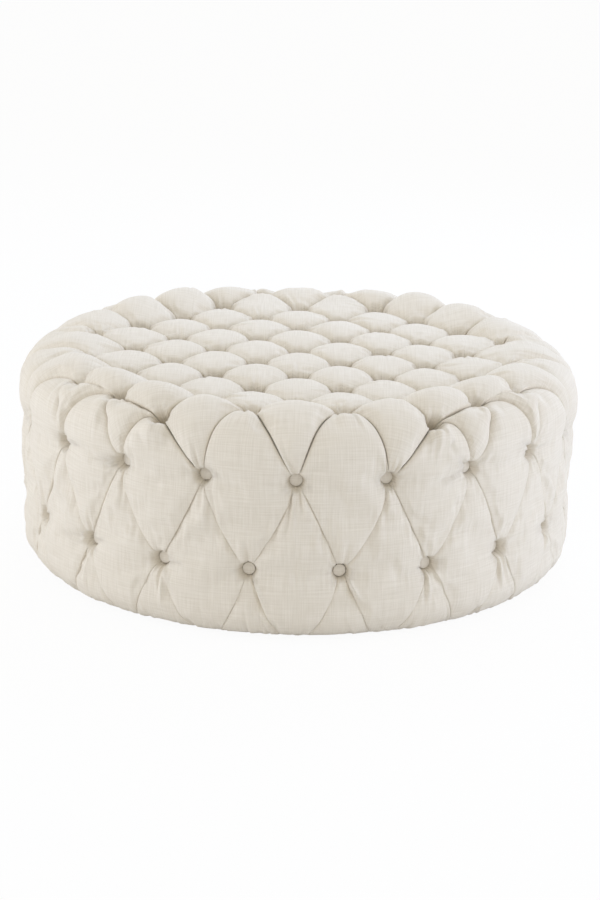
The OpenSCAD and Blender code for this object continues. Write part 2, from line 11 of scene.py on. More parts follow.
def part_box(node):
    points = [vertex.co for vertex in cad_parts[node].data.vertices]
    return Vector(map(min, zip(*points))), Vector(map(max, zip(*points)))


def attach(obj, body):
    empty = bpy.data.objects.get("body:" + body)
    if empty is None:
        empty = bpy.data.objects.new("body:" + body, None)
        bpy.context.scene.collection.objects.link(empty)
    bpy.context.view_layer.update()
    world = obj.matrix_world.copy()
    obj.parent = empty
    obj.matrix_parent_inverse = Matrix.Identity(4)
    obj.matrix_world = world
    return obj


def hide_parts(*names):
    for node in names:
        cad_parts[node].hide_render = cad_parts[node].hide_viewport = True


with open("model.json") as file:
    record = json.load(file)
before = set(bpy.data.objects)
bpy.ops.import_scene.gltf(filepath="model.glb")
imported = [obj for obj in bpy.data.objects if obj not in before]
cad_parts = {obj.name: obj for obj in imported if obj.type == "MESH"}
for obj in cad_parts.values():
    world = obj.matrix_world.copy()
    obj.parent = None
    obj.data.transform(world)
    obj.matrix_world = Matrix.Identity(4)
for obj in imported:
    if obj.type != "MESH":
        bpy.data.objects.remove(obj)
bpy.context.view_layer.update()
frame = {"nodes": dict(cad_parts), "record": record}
bpy.ops.object.select_all(action="DESELECT")

# The padded body
BODY_R = 0.545
BODY_H = 0.414
CROWN_H = 0.006
SHOULDER_R = 0.105
HEM_R = 0.050
FLOOR_GAP = 0.010
CLOTH_T = 0.0012
HEM_TURN = 0.022
TOP_R = BODY_R - SHOULDER_R
SHOULDER_LEN = SHOULDER_R * math.pi / 2
HEM_LEN = HEM_R * math.pi / 2
SHOULDER_Z = BODY_H - SHOULDER_R
SIDE_START = TOP_R + SHOULDER_LEN
SIDE_END = SIDE_START + SHOULDER_Z - HEM_R - FLOOR_GAP
HEM_START = SIDE_END + HEM_LEN

# The buttoning
HALF_STEPS = 40
HALF_TURN = 2 * math.pi / HALF_STEPS
SEAT_ROWS = 5
DIAMOND_W = 0.1635
SEAT_ROW = 0.0902
SEAT_REACH = (4, 5, 4, 5, 4, 3)
RIM_QUARTER = {1: (1, -5), 3: (3, -5), 5: (4, -4), 7: (5, -3), 9: (5, -1)}
INNER_QUARTER = {0: (0, -4), 2: (2, -4), 8: (4, -2), 10: (4, 0)}
UPPER_Z = 0.304
LOWER_Z = 0.133
LOWER_FALL = 0.193
UPPER_S = SIDE_START + SHOULDER_Z - UPPER_Z
LOWER_S = SIDE_START + SHOULDER_Z - LOWER_Z
FALL_S = LOWER_S + LOWER_FALL
BUTTON_DEPTH = 0.038

# The cloth between the buttons
GRID = 48
CLUSTER = 0.62
SMOOTHING = 4
# A button's pit: share, radius and power of its round seat, then radius and power of the wider funnel
SEAT_PIT = (0.75, 0.0260, 5, 0.028, 1.5)
RIM_PIT = (0.55, 0.0155, 5, 0.024, 1.2)
SIDE_PIT = (0.50, 0.0158, 6, 0.025, 1.2)
PIT_REACH = 0.075
# Valleys beside the pleats, by the tuft that a pleat leaves; the domed share of a cell rises as one dome
VALLEY_DEPTH = {"seat": 0.0330, "rim": 0.0110, "upper": 0.0065, "lower": 0.0055, "fall": 0.0}
VALLEY_W = {"seat": 0.060, "rim": 0.055, "upper": 0.046, "lower": 0.046, "fall": 0.046}
VALLEY_WALL = 0.45
DOMED = {"seat": 1.0, "rim": 0.90, "upper": 0.12, "lower": 0.0, "fall": 0.0}
DOME_POWER = 0.36
RIM_FADE = 0.4
EDGE_SHARE = 0.35
FULL_LOW, FULL_RISE, FULL_AT, FULL_FLAT, FULL_REACH = -0.003, 0.033, 0.520, 0.055, 0.060
HEM_SWELL, HEM_SWELL_AT, HEM_SWELL_R = 0.007, 0.925, 0.024
SHOULDER_SWELL, SHOULDER_SWELL_AT, SHOULDER_SWELL_R = 0.014, 0.535, 0.045
CREASE_DEPTH = 0.0050
LIP_W = 0.0024
UNDER_W = 0.0075
LIP_LEAN = 0.0045
LIP_REACH = 0.0090
CREASE_REACH = 0.050
PUFF_HEIGHT = 0.0060
PUFF_MORE = 0.0160
PUFF_AT = 0.028
PUFF_R = 0.020
PUFF_CLEAR = 0.017
SETTLE_LEN = 0.030
WADDING_DEPTH = 0.044
WADDING_GAP = 0.0100
WADDING_THIN = 0.0012
PAD_STEP = max(1, GRID // 24)

# Folds, gathers and unevenness: pairs are the least and the most that is drawn
FOLD_STRENGTH = 2.6
FOLD_CALM = 0.55
FOLD_TURN = 18
FOLD_LEN = (0.035, 0.085)
FOLD_HEIGHT = (0.0008, 0.0022)
FOLD_W = (0.0026, 0.0042)
FOLD_START = (-0.006, 0.006)
FOLD_OFF = 0.008
FOLD_REACH = 0.12
RIDGE_SHARE = 0.8
FOLD_RIDGE_AT, FOLD_RIDGE_W = 1.7, 1.4
GATHERS = 150
GATHER_TURN = (-0.45, 0.45)
GATHER_TOP = (-0.020, 0.022)
GATHER_SLANT = 0.35
GATHER_HEIGHT = (0.0005, 0.0030)
GATHER_W = (0.0028, 0.0048)
GATHER_LEN = 0.060
GATHER_REACH = 0.030
GATHER_RIDGE_AT, GATHER_RIDGE_W = 1.8, 1.5
FAN_HEIGHT = 0.0007
FAN_R = 0.021
FAN_SPREAD = 0.011
FAN_WAVES = (5, 8, 11, 14, 17)
# Height, number of waves, shortest and longest wave
UNEVEN = ((0.0012, 24, 0.060, 0.150), (0.00025, 30, 0.016, 0.034))

# The cloth simulation
SIM_CELL = 16
SIM_FRAMES = 18
SIM_QUALITY = 5
SIM_MASS = 0.2
SIM_PRESSURE = 3.0
SIM_GROWTH = 0.03
SIM_REACH = 0.0030
SIM_EVEN = 0.85

# Buttons, foam and staples
CLEAR = 0.0004
BUTTON_R = 0.0115
BUTTON_BACK = 0.0100
BUTTON_EDGE = 0.0024
BUTTON_ROLL = 0.0011
BUTTON_DOME = ((0.0011, -0.0005), (0.0022, 0.0007), (0.0030, 0.0006), (0.0026, 0.0003))
BUTTON_SIDES = 28
SHANK_R = 0.003
SHANK_START = 0.0029
FOAM_SIDES = 96
FOAM_SHOULDER = 0.090
WALL_T = 0.004
FOAM_SIDE = 0.002
TIE_GAP = 0.010
PIN_HEAD_T = 0.0008
DUST_STAPLES = 36
DUST_TURNS = 144
DUST_RINGS = (0, 0.05, 0.10, 0.15, 0.20, 0.25, 0.30, 0.36, 0.42, 0.455, 0.471, 0.480, 0.486)
DUST_PULL_R = 0.42
DUST_PULL = 0.0022
DUST_SLACK_R = 0.30
DUST_SLACK = 0.0032
DUST_SAG = 0.0006
DUST_RIPPLE = 0.0002

# Finishes and light
CLOTH_DARK, CLOTH_LIGHT = (0.775, 0.718, 0.620), (0.882, 0.830, 0.742)
BUTTON_DARK, BUTTON_LIGHT = (0.790, 0.735, 0.645), (0.890, 0.842, 0.760)
# Painted shade: the cloth's colour is pulled towards this dark tone down in the button tufts, where shade
# falls
PAINTED_TUFT_SHADE_COLOUR = (0.520, 0.465, 0.375)
PAINTED_TUFT_SHADE_STRENGTH = 0.70
UPRIGHT_SLUBS, LEVEL_SLUBS = (430, 17, 1), (14, 470, 1)
THREAD_WAVES = 380
THREAD_SHARE = 0.4
PLY_WAVES = 120
DOT_WAVES = 200
FLOOR_GLOW = 0.94
FLOOR_REACH = 12
LAMP_SIZE = 2.2
WORLD_LIGHT, WORLD_TINT = 0.715, (1.0, 0.975, 0.915)
LEFT_LIGHT, LEFT_TINT = 39, (0.84, 0.88, 1.0)
RIGHT_LIGHT, RIGHT_TINT = 44, (0.70, 0.78, 1.0)
TOP_LIGHT, TOP_TINT = 51, (0.58, 0.72, 1.0)


def profile(s):
    """Radius, height and outward way of the plain body, a distance s along the cloth from its middle."""
    turn = np.clip((s - TOP_R) / SHOULDER_LEN, 0, 1) * math.pi / 2
    hem = np.clip((s - SIDE_END) / HEM_LEN, 0, 1) * math.pi / 2
    under = np.maximum(s - HEM_START, 0) * HEM_TURN / (FALL_S - HEM_START)
    radius = np.minimum(s, TOP_R) + SHOULDER_R * np.sin(turn) - HEM_R * (1 - np.cos(hem)) - under
    height = (BODY_H - SHOULDER_R * (1 - np.cos(turn)) - np.clip(s - SIDE_START, 0, SIDE_END - SIDE_START)
              - HEM_R * np.sin(hem))
    return radius, height, np.sin(turn + hem), np.cos(turn + hem)


def placed(x, y, lift):
    """Points of the flat pattern, lifted off the plain body along its own outward direction."""
    s = np.hypot(x, y)
    safe = np.maximum(s, 1e-9)
    radius, height, out, up = profile(s)
    reach = radius + lift * out
    return np.stack([reach * x / safe, reach * y / safe, height + lift * up], axis=-1)


def crown(s):
    return CROWN_H * np.clip(1 - (s / TOP_R) ** 2, 0, 1)


def at_turn(s, turn):
    """The flat pattern's point at a distance from the middle; the turn runs from the front towards +X."""
    return np.stack([s * np.sin(turn), -s * np.cos(turn)], axis=-1)


def on_grid(places, k):
    """A column's [half diamonds, rows] on the seat grid, from its place in the first quarter, or None."""
    m = k % HALF_STEPS
    quarter = m if m <= 10 else 20 - m if m <= 20 else m - 20 if m <= 30 else 40 - m
    if quarter not in places:
        return None
    i, j = places[quarter]
    return i * (1 if m < 20 else -1), j * (1 if m < 10 or m > 30 else -1)


def rim_grid(k):
    """Where a rim button lies on the seat grid."""
    return on_grid(RIM_QUARTER, k)


def inner_grid(k):
    """The seat button inside two rim buttons, or None where three pleats close the cell."""
    return on_grid(INNER_QUARTER, k)


RIM_AT = {rim_grid(k): k for k in range(1, HALF_STEPS, 2)}


def has_tuft(i, j):
    return abs(j) <= SEAT_ROWS and abs(i) <= SEAT_REACH[abs(j)]


def seat(i, j):
    """A seat tuft's name; one on the rim goes by its place round the rim."""
    return ("rim", RIM_AT[(i, j)]) if (i, j) in RIM_AT else ("seat", i, j)


def side(row, k):
    return (row, k % HALF_STEPS)


def tuft_point(tuft):
    """A tuft's place in the flat pattern."""
    if tuft[0] in ("seat", "rim"):
        i, j = rim_grid(tuft[1]) if tuft[0] == "rim" else tuft[1:]
        return np.array([i * DIAMOND_W / 2, j * SEAT_ROW])
    s = {"upper": UPPER_S, "lower": LOWER_S, "fall": FALL_S}[tuft[0]]
    return at_turn(s, tuft[1] * HALF_TURN)


def pit(r, row):
    """How deep a button draws the cloth at a distance r: a round seat for the button in a wider funnel."""
    core, core_r, core_power, skirt_r, skirt_power = {"seat": SEAT_PIT, "rim": RIM_PIT}.get(row, SIDE_PIT)
    return BUTTON_DEPTH * (core * np.exp(-(r / core_r) ** core_power)
                           + (1 - core) * np.exp(-(r / skirt_r) ** skirt_power))


def shares():
    """Divisions of a pleat from 0 to 1, closer together at its ends."""
    even = np.linspace(0, 1, GRID + 1)
    return (1 - CLUSTER) * even + CLUSTER * (1 - np.cos(math.pi * even)) / 2


T = shares()


def signed(k):
    """A column's number from the front, from -20 to 20."""
    return (k + HALF_STEPS // 2) % HALF_STEPS - HALF_STEPS // 2


# How the front pleats run: the powers of their turn and of their fall along them, and how sharp they are
FRONT_PLEATS = {
    (-1, -2, "rim"): (0.42, 1.65, 0.4), (-1, 0, "rim"): (0.90, 1.05, 0.1),
    (1, 0, "rim"): (0.62, 1.30, 0.0), (1, 2, "rim"): (0.45, 1.55, 0.3),
    (3, 4, "rim"): (0.40, 1.70, 0.5), (3, 2, "rim"): (0.90, 1.05, 0.1),
    (-3, -2, "rim"): (0.85, 1.06, 0.3), (-3, -4, "rim"): (0.45, 1.60, 0.4),
    (5, 6, "rim"): (0.35, 1.80, 0.7), (5, 4, "rim"): (1.40, 0.92, 1.1),
    (7, 6, "rim"): (1.50, 0.88, 1.2), (-5, -4, "rim"): (1.20, 0.95, 0.9),
    (0, 1, "upper"): (0.88, 1.08, 1.0), (0, -1, "upper"): (1.14, 0.88, 0.9),
    (-2, -1, "upper"): (1.22, 0.85, 0.55), (2, 1, "upper"): (1.28, 0.82, 0.7),
    (-2, -3, "upper"): (1.05, 0.95, 1.3), (2, 3, "upper"): (0.95, 1.02, 1.1),
    (4, 5, "upper"): (0.85, 1.10, 1.2), (4, 3, "upper"): (1.25, 0.85, 0.6),
    (6, 7, "upper"): (0.75, 1.20, 0.9), (-1, 0, "lower"): (1.00, 1.00, 0.9),
    (-1, -2, "lower"): (1.15, 0.95, 0.6), (1, 2, "lower"): (0.85, 1.00, 1.0),
    (1, 0, "lower"): (1.10, 0.95, 0.6), (3, 4, "lower"): (0.80, 1.10, 1.0),
    (3, 2, "lower"): (1.10, 0.95, 0.5),
}
# The others' powers, by whether they run towards the front or away from it, and how much these vary
OTHER_PLEATS = {
    "rim": ((0.88, 1.05), (0.50, 1.50)),
    "upper": ((1.25, 0.84), (1.00, 0.98)),
    "lower": ((1.10, 0.95), (0.88, 1.05)),
}
TURN_VARY, FALL_VARY, FALL_DRIFT = 0.12, 0.08, 0.04
SHARP_MEAN, SHARP_VARY = 0.95, 0.4
PLEAT_DRAW = np.random.default_rng(11)


def pleat_run(a, b):
    """A side pleat's powers of turn and of fall, and its sharpness: as photographed, or much alike."""
    row, ka, kb = a[0], signed(a[1]), signed(b[1])
    if (ka, kb, row) in FRONT_PLEATS:
        return FRONT_PLEATS[(ka, kb, row)]
    outward = abs(kb) > abs(ka)
    turn, fall = OTHER_PLEATS[row][outward]
    vary = PLEAT_DRAW.uniform(-1, 1, 3)
    return (turn * (1 + TURN_VARY * vary[0]), fall * (1 - FALL_VARY * vary[0] + FALL_DRIFT * vary[1]),
            SHARP_MEAN + SHARP_VARY * vary[2])


PLEATS = {}


def pleat(a, b):
    """Points of a pleat from tuft a to tuft b.

    Each is [x, y, crease depth, valley depth, valley width, share of dome].
    """
    if (b, a) in PLEATS:
        return PLEATS[(b, a)][::-1]
    if (a, b) not in PLEATS:
        order = ("seat", "rim", "upper", "lower", "fall")
        if order.index(a[0]) > order.index(b[0]):
            return pleat(b, a)[::-1]
        pa, pb = tuft_point(a), tuft_point(b)
        sharp = 1.0
        if b[0] in ("seat", "rim") or a == b:
            points = pa + (pb - pa) * T[:, None]
        else:
            level = a[0] == b[0]
            turn_power, fall_power, sharp = (1, 1, 0) if level else pleat_run(a, b)
            turn_a, turn_b = math.atan2(pa[0], -pa[1]), math.atan2(pb[0], -pb[1])
            swing = (turn_b - turn_a + math.pi) % (2 * math.pi) - math.pi
            sa, sb = np.hypot(*pa), np.hypot(*pb)
            points = at_turn(sa + (sb - sa) * T ** fall_power, turn_a + swing * T ** turn_power)
        fade = T ** RIM_FADE if a[0] == "rim" and b[0] == "upper" else T
        kinds = (VALLEY_DEPTH, VALLEY_W, DOMED)
        valleys = [kind[a[0]] + (kind[b[0]] - kind[a[0]]) * fade for kind in kinds]
        crease = sharp * CREASE_DEPTH * (4 * T * (1 - T)) ** 0.5 * (a != b)
        if b[0] == "fall":
            crease = crease * (1 - T)
        PLEATS[(a, b)] = np.column_stack([points, crease, *valleys])
    return PLEATS[(a, b)]


def valley(share):
    """The cloth's fall into a valley, from 1 in the pleat to 0 on the full cloth: steeper at the pleat."""
    rest = np.clip(1 - share, 0, 1)
    return (1 - VALLEY_WALL) * rest ** 2 + VALLEY_WALL * (1 - np.sqrt(np.clip(1 - rest ** 2, 0, 1)))


def fullness(s):
    """How far a seat cell's middle swells above the plain body: most along the rim."""
    past = np.maximum(np.abs(s - FULL_AT) - FULL_FLAT, 0)
    return FULL_LOW + FULL_RISE * np.exp(-(past / FULL_REACH) ** 2)


def crease_of(points, edge, over, held):
    """Extra depth and sideways shift beside a pleat. The cloth on one side lies over the other."""
    apart = points[..., :2] - edge[..., :2]
    gap = np.linalg.norm(apart, axis=-1)
    crease = edge[..., 2] * held
    depth = crease * np.exp(-gap / (LIP_W if over else UNDER_W)) * (gap < CREASE_REACH)
    if not over:
        return depth, np.zeros_like(apart)
    q = np.clip(gap / LIP_REACH, 0, 1)
    lean = LIP_LEAN * 4 * q * (1 - q) * crease / CREASE_DEPTH
    return depth, -apart / np.maximum(gap, 1e-9)[..., None] * lean[..., None]


def near_share(share):
    """1 by an edge, and smoothly 0 at the edge across from it."""
    q = np.clip(share / EDGE_SHARE, 0, 1)
    return q * q * (3 - 2 * q)


def cell(names):
    """Pattern points [x, y, depth, crease, swell] of a cell, on a square grid.

    A cell of three pleats starts from one point. The seat's cells are domes, and the side's are full
    between valleys.
    """
    a, b, c, d = names if len(names) == 4 else (*names, names[0])
    u, v = T[:, None, None], T[None, :, None]
    low, high = pleat(a, b)[:, None, :], pleat(d, c)[:, None, :]
    left, right = pleat(a, d)[None, :, :], pleat(b, c)[None, :, :]
    flat = ((1 - u) * (1 - v) * low[:1] + u * (1 - v) * low[-1:]
            + u * v * high[-1:] + (1 - u) * v * high[:1])
    patch = (1 - v) * low + v * high + (1 - u) * left + u * right - flat
    centre_s = np.linalg.norm(patch[GRID // 2, GRID // 2, :2])
    points, valleys, creases = patch[..., :2].copy(), 0, 0
    for edge, share in ((low, 1 - v), (high, v), (left, 1 - u), (right, u)):
        edge = np.broadcast_to(edge, patch.shape)
        held = near_share(share[..., 0])
        gap = np.linalg.norm(patch[..., :2] - edge[..., :2], axis=-1)
        valleys = valleys + (held * edge[..., 3] * valley(gap / edge[..., 4])) ** SMOOTHING
        over = centre_s < np.linalg.norm(edge[GRID // 2, GRID // 2, :2])
        extra, shift = crease_of(patch, edge, over, held)
        creases = creases + extra
        points = points + shift
    dome = (16 * u * (1 - u) * v * (1 - v))[..., 0] ** DOME_POWER
    domed = patch[..., 5]
    depth = domed * patch[..., 3] * (1 - dome) + (1 - domed) * valleys ** (1 / SMOOTHING)
    swell = domed * dome * fullness(np.linalg.norm(patch[..., :2], axis=-1))
    return np.concatenate([points, depth[..., None], creases[..., None], swell[..., None]], axis=-1)


def cell_faces(n):
    """Faces of a grid of n by n points."""
    return [(i * n + j, (i + 1) * n + j, (i + 1) * n + j + 1, i * n + j + 1)
            for i in range(n - 1) for j in range(n - 1)]


def seat_cells():
    """Corner names of every cell of the seat cloth."""
    cells = []
    for j in range(-SEAT_ROWS, SEAT_ROWS + 1):
        for i in range(-SEAT_ROWS, SEAT_ROWS + 1):
            around = ((i, j + 1), (i - 1, j), (i, j - 1), (i + 1, j))
            if (i + j) % 2 == 1 and all(has_tuft(*p) for p in around):
                cells.append(tuple(seat(*p) for p in around))
    for k in range(0, HALF_STEPS, 2):
        rims, tip, inner = (side("rim", k - 1), side("rim", k + 1)), side("upper", k), inner_grid(k)
        cells.append((seat(*inner), rims[0], tip, rims[1]) if inner else (tip, rims[1], rims[0]))
    return cells


def side_cells():
    """Corner names of every cell of the side cloth."""
    cells = []
    for k in range(1, HALF_STEPS, 2):
        cells.append((side("rim", k), side("upper", k - 1), side("lower", k), side("upper", k + 1)))
    for k in range(0, HALF_STEPS, 2):
        cells.append((side("upper", k), side("lower", k - 1), side("fall", k), side("lower", k + 1)))
    for k in range(1, HALF_STEPS, 2):
        cells.append((side("lower", k), side("fall", k - 1), side("fall", k + 1)))
    return cells


def cloth_grid(cells, step=1):
    """Pattern points, faces and weave coordinates of many cells, not yet joined."""
    points, faces, weave, start = [], [], [], 0
    for names in cells:
        patch = cell(names)[::step, ::step]
        faces += [tuple(v + start for v in f) for f in cell_faces(len(patch))]
        patch = patch.reshape(-1, 5)
        points.append(patch)
        start += len(patch)
        middle = patch[:, :2].mean(axis=0)
        centre = math.atan2(middle[0], -middle[1])
        turn = centre + (np.arctan2(patch[:, 0], -patch[:, 1]) - centre + math.pi) % (2 * math.pi) - math.pi
        on_side = any(name[0] == "lower" for name in names)
        weave.append(np.column_stack([turn * BODY_R, -np.hypot(patch[:, 0], patch[:, 1])]) if on_side
                     else patch[:, :2])
    return np.concatenate(points), faces, np.concatenate(weave)


def all_tufts():
    """Every button's tuft, each once."""
    seats = [seat(i, j) for j in range(-SEAT_ROWS, SEAT_ROWS + 1) for i in range(-SEAT_ROWS, SEAT_ROWS + 1)
             if (i + j) % 2 == 0 and has_tuft(i, j)]
    rows = [side(("lower", "upper")[k % 2 == 0], k) for k in range(HALF_STEPS)]
    return seats + rows


def tuft_frame(tuft):
    """A tuft's place on the plain body, its direction to the right, up towards the crown, and outwards."""
    x, y = tuft_point(tuft)
    place, lifted = placed(np.array([x, x]), np.array([y, y]), np.array([0.0, 1.0]))
    out = lifted - place
    turn = math.atan2(x, -y)
    right = np.array([math.cos(turn), math.sin(turn), 0.0])
    return place, right, np.cross(out, right), out


def drawn_in(depth, base):
    """The depth of the cloth drawn in by the buttons, and puffed up again just outside the rim ones."""
    depth = depth.copy()
    for tuft in all_tufts():
        place, right, up, out = tuft_frame(tuft)
        near = np.flatnonzero(np.linalg.norm(base - place, axis=1) < PIT_REACH)
        r = np.linalg.norm(base[near] - place, axis=1)
        depth[near] = (depth[near] ** SMOOTHING + pit(r, tuft[0]) ** SMOOTHING) ** (1 / SMOOTHING)
        if tuft[0] == "rim":
            apart = np.linalg.norm(base[near] - place + up * PUFF_AT, axis=1)
            height = PUFF_HEIGHT + PUFF_MORE * math.hypot(out[0], out[1])
            depth[near] -= height * np.exp(-(apart / PUFF_R) ** 2) * (1 - np.exp(-(r / PUFF_CLEAR) ** 6))
    return depth


def fans(base, draw):
    """Lift of the fine gathers that fan out from each button."""
    lift = np.zeros(len(base))
    for tuft in all_tufts():
        place, right, up, out = tuft_frame(tuft)
        near = np.flatnonzero(np.linalg.norm(base - place, axis=1) < PIT_REACH)
        apart = base[near] - place
        angle = np.arctan2(apart @ up, apart @ right)
        waves = sum(np.cos(m * angle + draw.uniform(0, 2 * math.pi)) for m in FAN_WAVES)
        ring = np.exp(-((np.linalg.norm(apart, axis=1) - FAN_R) / FAN_SPREAD) ** 2)
        lift[near] += FAN_HEIGHT * waves * ring
    return lift


def ridge_by_groove(across, width, ridge_at, ridge_w):
    """A cut through folded cloth: a narrow groove, and beside it a soft ridge sized by the groove."""
    groove = np.exp(-(across / width) ** 2)
    ridge = np.exp(-((across - ridge_at * width) / (ridge_w * width)) ** 2)
    return RIDGE_SHARE * ridge - groove


def fold(across, along, length, height, width):
    """Lift of a short fold that starts at a button, and widens along its length."""
    share = np.clip(along / length, 0, 1)
    taper = np.sin(math.pi * share ** 0.6) * (along > 0)
    spread = width * (0.6 + 0.9 * share)
    return FOLD_STRENGTH * height * taper * ridge_by_groove(across, spread, FOLD_RIDGE_AT, FOLD_RIDGE_W)


# Folds seen below, above and beside the front buttons: [angle, length, height, width, start to the right]
FRONT_FOLDS = {
    ("upper", 0): ((-95, 0.098, 0.0022, 0.0030, -0.006), (-84, 0.058, 0.0018, 0.0028, 0.006),
                   (112, 0.075, 0.0018, 0.0030, 0.002)),
    ("upper", 38): ((-92, 0.080, 0.0012, 0.0045, 0.000), (104, 0.060, 0.0018, 0.0030, -0.002),
                    (124, 0.050, 0.0012, 0.0030, -0.004)),
    ("upper", 2): ((100, 0.050, 0.0020, 0.0026, -0.004), (80, 0.035, 0.0018, 0.0024, 0.006),
                   (-96, 0.060, 0.0012, 0.0040, -0.004), (62, 0.040, 0.0014, 0.0026, 0.008)),
    ("lower", 39): ((-70, 0.082, 0.0026, 0.0032, 0.004), (92, 0.060, 0.0014, 0.0045, 0.000)),
    ("lower", 1): ((-64, 0.074, 0.0026, 0.0032, 0.004), (84, 0.064, 0.0014, 0.0045, 0.004)),
    ("lower", 3): ((-92, 0.070, 0.0022, 0.0032, -0.006), (-70, 0.050, 0.0014, 0.0035, 0.004)),
    ("lower", 5): ((-88, 0.066, 0.0024, 0.0030, -0.006), (-74, 0.080, 0.0016, 0.0034, 0.002)),
}


def folds_of(tuft, draw):
    """The short folds round a button: those seen on the front, or else a few of the same kind."""
    if tuft in FRONT_FOLDS:
        return FRONT_FOLDS[tuft]
    calm = FOLD_CALM if tuft[0] in ("seat", "rim") else 1.0
    found = []
    for _ in range(draw.integers(2, 5)):
        angle = draw.choice((-90, -90, 90, 0, 180)) + draw.normal(0, FOLD_TURN)
        found.append((angle, draw.uniform(*FOLD_LEN), calm * draw.uniform(*FOLD_HEIGHT),
                      draw.uniform(*FOLD_W), draw.uniform(*FOLD_START)))
    return found


def folded(base, draw):
    """Lift of all the short folds round the buttons."""
    lift = np.zeros(len(base))
    for tuft in all_tufts():
        place, right, up, out = tuft_frame(tuft)
        apart = base - place
        near = np.linalg.norm(apart, axis=1) < FOLD_REACH
        x, y = apart[near] @ right, apart[near] @ up
        for angle, length, height, width, start in folds_of(tuft, draw):
            a = math.radians(angle)
            along = (x - start) * math.cos(a) + y * math.sin(a) - FOLD_OFF
            across = -(x - start) * math.sin(a) + y * math.cos(a)
            lift[near] += fold(across, along, length, height, width)
    return lift


def gathers(base, s, draw):
    """Lift of the short slanting gathers where the cloth is drawn under the base."""
    lift = np.zeros(len(base))
    turn = np.arctan2(base[:, 0], -base[:, 1])
    for i in range(GATHERS):
        at = 2 * math.pi * (i + draw.uniform(*GATHER_TURN)) / GATHERS - math.pi
        top, slant = SIDE_END - draw.uniform(*GATHER_TOP), draw.normal(0, GATHER_SLANT)
        height, width = draw.uniform(*GATHER_HEIGHT), draw.uniform(*GATHER_W)
        across = ((turn - at + math.pi) % (2 * math.pi) - math.pi) * BODY_R - (s - top) * slant
        near = (abs(across) < GATHER_REACH) & (s > top)
        share = np.clip((s[near] - top) / GATHER_LEN, 0, 1)
        lift[near] += height * share * ridge_by_groove(across[near], width, GATHER_RIDGE_AT, GATHER_RIDGE_W)
    return lift


def uneven(base, draw, count, shortest, longest):
    """A smooth unevenness between -1 and 1, as many crossing waves."""
    total = np.zeros(len(base))
    for _ in range(count):
        way = draw.normal(size=3)
        wave = 2 * math.pi / draw.uniform(shortest, longest)
        total += np.sin(base @ (way / np.linalg.norm(way) * wave) + draw.uniform(0, 2 * math.pi))
    return total / math.sqrt(count)


def cloth_lift(points):
    """The cloth's lift off the plain body, and how free it is of the buttons and of the hem."""
    draw = np.random.default_rng(7)
    x, y = points[:, 0], points[:, 1]
    s = np.hypot(x, y)
    base = placed(x, y, np.zeros(len(points)))
    settle = np.clip((HEM_START - s) / SETTLE_LEN, 0, 1)
    depth = drawn_in(points[:, 2], base)
    free = 1 - np.clip(depth / BUTTON_DEPTH, 0, 1)
    lift = fans(base, draw) + folded(base, draw) * (s < HEM_START)
    for height, count, shortest, longest in UNEVEN:
        lift += height * free * uneven(base, draw, count, shortest, longest)
    lift += gathers(base, s, draw)
    swell = points[:, 4] + HEM_SWELL * np.exp(-((s - HEM_SWELL_AT) / HEM_SWELL_R) ** 2)
    swell += SHOULDER_SWELL * free * np.exp(-((s - SHOULDER_SWELL_AT) / SHOULDER_SWELL_R) ** 2)
    return crown(s) + (lift - depth - points[:, 3]) * settle + swell, free, settle


def spline(knots, at):
    """Weights that carry values over from some knots to other places, as a natural cubic spline."""
    gap = np.diff(knots)
    bend, change = np.eye(len(knots)), np.zeros((len(knots), len(knots)))
    for i in range(1, len(knots) - 1):
        bend[i, i - 1:i + 2] = gap[i - 1] / 6, (gap[i - 1] + gap[i]) / 3, gap[i] / 6
        change[i, i - 1:i + 2] = 1 / gap[i - 1], -1 / gap[i - 1] - 1 / gap[i], 1 / gap[i]
    curved = np.linalg.solve(bend, change)
    rows = []
    for t in at:
        i = min(max(int(np.searchsorted(knots, t)) - 1, 0), len(gap) - 1)
        b = (t - knots[i]) / gap[i]
        a = 1 - b
        row = ((a ** 3 - a) * curved[i] + (b ** 3 - b) * curved[i + 1]) * gap[i] ** 2 / 6
        row[i] += a
        row[i + 1] += b
        rows.append(row)
    return np.array(rows)


def simulated(name, start, faces, held):
    """Where a cloth simulation takes points: slack cloth, pressed evenly from behind and held in places."""
    piece = new_piece(name, start, faces)
    piece.vertex_groups.new(name="held").add(held.tolist(), 1.0, "REPLACE")
    modifier = piece.modifiers.new("cloth", "CLOTH")
    cloth = modifier.settings
    cloth.quality = SIM_QUALITY
    cloth.mass = SIM_MASS
    cloth.vertex_group_mass = "held"
    cloth.use_pressure = True
    cloth.uniform_pressure_force = SIM_PRESSURE
    cloth.shrink_min = -SIM_GROWTH
    cloth.effector_weights.gravity = 0
    modifier.point_cache.frame_start = 1
    modifier.point_cache.frame_end = SIM_FRAMES
    for number in range(1, SIM_FRAMES + 1):
        bpy.context.scene.frame_set(number)
    shape = piece.evaluated_get(bpy.context.evaluated_depsgraph_get()).data
    moved = np.empty(3 * len(shape.vertices))
    shape.vertices.foreach_get("co", moved)
    bpy.context.scene.frame_set(1)
    bpy.data.objects.remove(piece)
    return moved.reshape(-1, 3)


